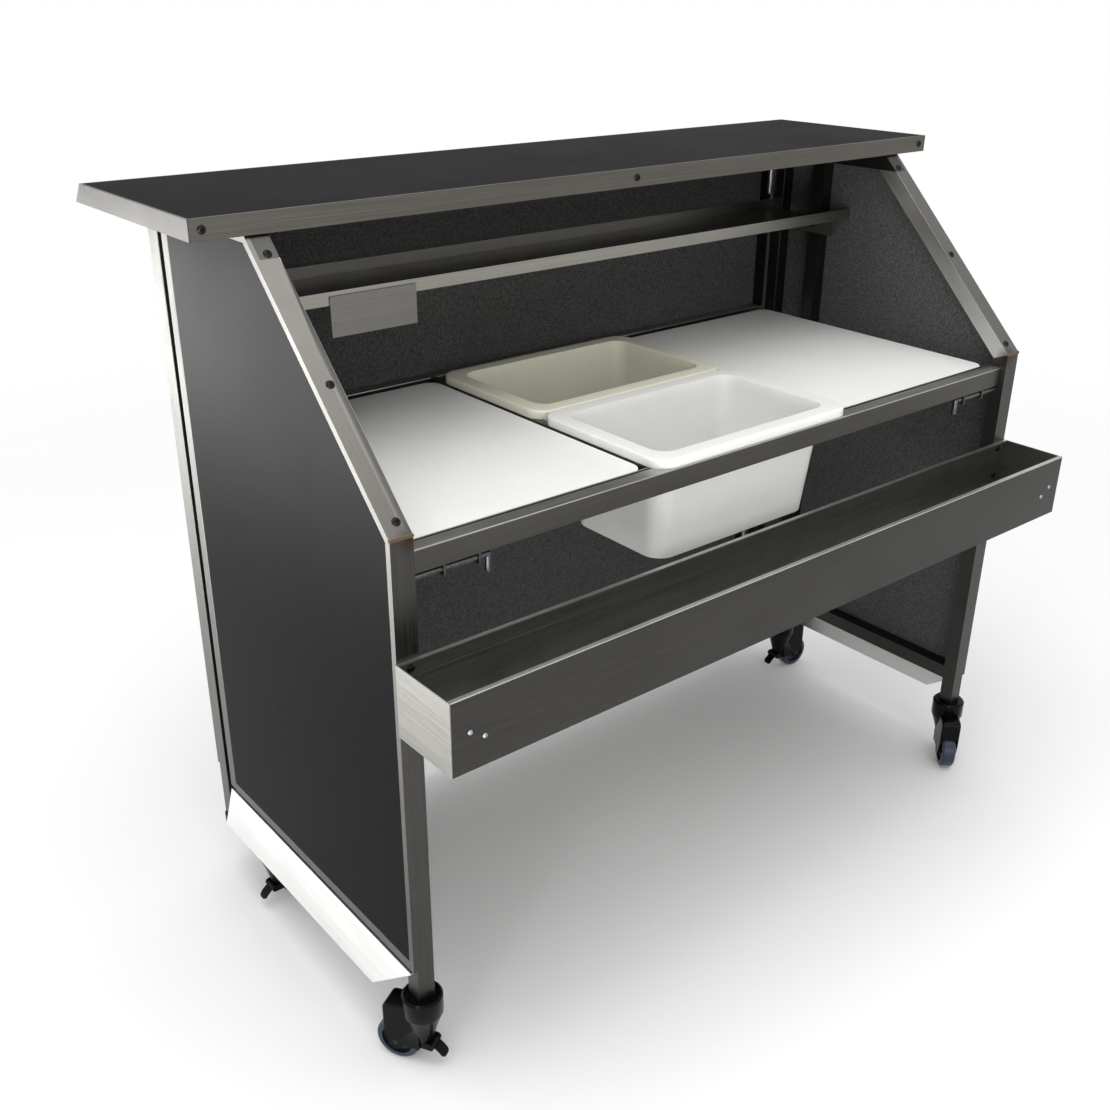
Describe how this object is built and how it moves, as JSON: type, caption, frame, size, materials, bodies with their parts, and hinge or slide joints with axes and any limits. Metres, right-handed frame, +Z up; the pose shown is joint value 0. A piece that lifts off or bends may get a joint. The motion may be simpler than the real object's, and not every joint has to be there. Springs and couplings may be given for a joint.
{
  "type": "portable bar",
  "caption": "Portable bar with a laminate counter on hinged steel-framed walls, a work deck with lift-out tubs and cutting boards, a bottle rail and braked casters.",
  "frame": {"origin": "on the floor, below the middle of the bar's bounding box", "axes": "+X to the right as the customer sees the bar, +Y from the customer to the bartender, +Z up"},
  "size_m": [1.356, 0.744, 1.1],
  "materials": {
    "steel": "brushed",
    "laminate": "satin laminate",
    "white_plastic": "matte",
    "tub_plastic": "semi gloss",
    "black_metal": "black oxide",
    "black_plastic": "gloss",
    "tread": "satin",
    "zinc": "zinc plated"
  },
  "bodies": {
    "frame": {"front_top_rail": "steel", "front_bottom_rail": "steel", "front_panel": "laminate", "plinth": "steel", "front_post_feet": "black_plastic", "corner_hinges": "zinc", "deck_rear_rail": "steel", "deck_front_rail": "steel", "upper_shelf": "steel", "shelf_lip_plate": "steel", "bottle_rail_trough": "steel", "bottle_rail_fasteners": "zinc", "panel_screws": "black_metal", "caster_stems": "zinc", "right_front_post": "steel", "left_front_post": "steel", "right_side_front_post": "steel", "left_side_front_post": "steel", "right_upright": "steel", "left_upright": "steel", "right_rear_post": "steel", "left_rear_post": "steel", "right_slant_tube": "steel", "left_slant_tube": "steel", "right_side_top_rail": "steel", "left_side_top_rail": "steel", "right_side_bottom_rail": "steel", "left_side_bottom_rail": "steel", "right_side_panel": "laminate", "left_side_panel": "laminate", "right_kick_plate": "steel", "left_kick_plate": "steel", "right_deck_cross_rail": "steel", "left_deck_cross_rail": "steel", "right_bottle_rail_end": "steel", "left_bottle_rail_end": "steel"},
    "counter": {"counter_board": "laminate", "counter_front_trim": "steel", "counter_edge_trim": "steel", "counter_trim_screws": "black_metal", "counter_pegs": "zinc"},
    "front_tub": {"front_tub": "tub_plastic"},
    "rear_tub": {"rear_tub": "tub_plastic"},
    "right_cutting_board": {"right_cutting_board": "white_plastic"},
    "right_latch_pin": {"right_latch_pin": "zinc"},
    "left_cutting_board": {"left_cutting_board": "white_plastic"},
    "left_latch_pin": {"left_latch_pin": "zinc"},
    "caster_rear_right_hood": {"caster_rear_right_hood": "black_plastic"},
    "caster_rear_right_wheel": {"caster_rear_right_wheel": "tread"},
    "caster_rear_right_pedal": {"caster_rear_right_pedal": "black_plastic"},
    "caster_rear_left_hood": {"caster_rear_left_hood": "black_plastic"},
    "caster_rear_left_wheel": {"caster_rear_left_wheel": "tread"},
    "caster_rear_left_pedal": {"caster_rear_left_pedal": "black_plastic"},
    "caster_front_right_hood": {"caster_front_right_hood": "black_plastic"},
    "caster_front_right_wheel": {"caster_front_right_wheel": "tread"},
    "caster_front_right_pedal": {"caster_front_right_pedal": "black_plastic"},
    "caster_front_left_hood": {"caster_front_left_hood": "black_plastic"},
    "caster_front_left_wheel": {"caster_front_left_wheel": "tread"},
    "caster_front_left_pedal": {"caster_front_left_pedal": "black_plastic"}
  },
  "joints": [
    {"name": "counter_lift", "type": "slide", "parent": "frame", "child": "counter", "axis": [0, 0, 1], "range_m": [0, 0.06]},
    {"name": "front_tub_lift", "type": "slide", "parent": "frame", "child": "front_tub", "axis": [0, 0, 1], "range_m": [0, 0.12]},
    {"name": "rear_tub_lift", "type": "slide", "parent": "frame", "child": "rear_tub", "axis": [0, 0, 1], "range_m": [0, 0.2]},
    {"name": "right_board_lift", "type": "slide", "parent": "frame", "child": "right_cutting_board", "axis": [0, 0, 1], "range_m": [0, 0.12]},
    {"name": "right_latch_slide", "type": "slide", "parent": "frame", "child": "right_latch_pin", "axis": [-1, 0, 0], "range_m": [0, 0.025]},
    {"name": "left_board_lift", "type": "slide", "parent": "frame", "child": "left_cutting_board", "axis": [0, 0, 1], "range_m": [0, 0.12]},
    {"name": "left_latch_slide", "type": "slide", "parent": "frame", "child": "left_latch_pin", "axis": [1, 0, 0], "range_m": [0, 0.025]},
    {"name": "caster_rear_right_swivel", "type": "hinge", "parent": "frame", "child": "caster_rear_right_hood", "pos_m": [0.5915, 0.2495, 0.1], "axis": [0, 0, 1], "continuous": true},
    {"name": "caster_rear_right_roll", "type": "hinge", "parent": "caster_rear_right_hood", "child": "caster_rear_right_wheel", "pos_m": [0.6095, 0.21832, 0.032], "axis": [-0.866, -0.5, 0], "continuous": true},
    {"name": "caster_rear_right_brake", "type": "hinge", "parent": "caster_rear_right_hood", "child": "caster_rear_right_pedal", "pos_m": [0.5845, 0.26162, 0.036], "axis": [-0.866, -0.5, 0], "range_deg": [0, 15]},
    {"name": "caster_rear_left_swivel", "type": "hinge", "parent": "frame", "child": "caster_rear_left_hood", "pos_m": [-0.5915, 0.2495, 0.1], "axis": [0, 0, 1], "continuous": true},
    {"name": "caster_rear_left_roll", "type": "hinge", "parent": "caster_rear_left_hood", "child": "caster_rear_left_wheel", "pos_m": [-0.56604, 0.27496, 0.032], "axis": [0.7071, -0.7071, 0], "continuous": true},
    {"name": "caster_rear_left_brake", "type": "hinge", "parent": "caster_rear_left_hood", "child": "caster_rear_left_pedal", "pos_m": [-0.6014, 0.2396, 0.036], "axis": [0.7071, -0.7071, 0], "range_deg": [0, 15]},
    {"name": "caster_front_right_swivel", "type": "hinge", "parent": "frame", "child": "caster_front_right_hood", "pos_m": [0.5915, -0.165, 0.1], "axis": [0, 0, 1], "continuous": true},
    {"name": "caster_front_right_roll", "type": "hinge", "parent": "caster_front_right_hood", "child": "caster_front_right_wheel", "pos_m": [0.5555, -0.165, 0.032], "axis": [0, 1, 0], "continuous": true},
    {"name": "caster_front_right_brake", "type": "hinge", "parent": "caster_front_right_hood", "child": "caster_front_right_pedal", "pos_m": [0.6055, -0.165, 0.036], "axis": [0, 1, 0], "range_deg": [0, 15]},
    {"name": "caster_front_left_swivel", "type": "hinge", "parent": "frame", "child": "caster_front_left_hood", "pos_m": [-0.5915, -0.165, 0.1], "axis": [0, 0, 1], "continuous": true},
    {"name": "caster_front_left_roll", "type": "hinge", "parent": "caster_front_left_hood", "child": "caster_front_left_wheel", "pos_m": [-0.62736, -0.16186, 0.032], "axis": [0.0872, 0.9962, 0], "continuous": true},
    {"name": "caster_front_left_brake", "type": "hinge", "parent": "caster_front_left_hood", "child": "caster_front_left_pedal", "pos_m": [-0.57755, -0.16622, 0.036], "axis": [0.0872, 0.9962, 0], "range_deg": [0, 15]}
  ]
}
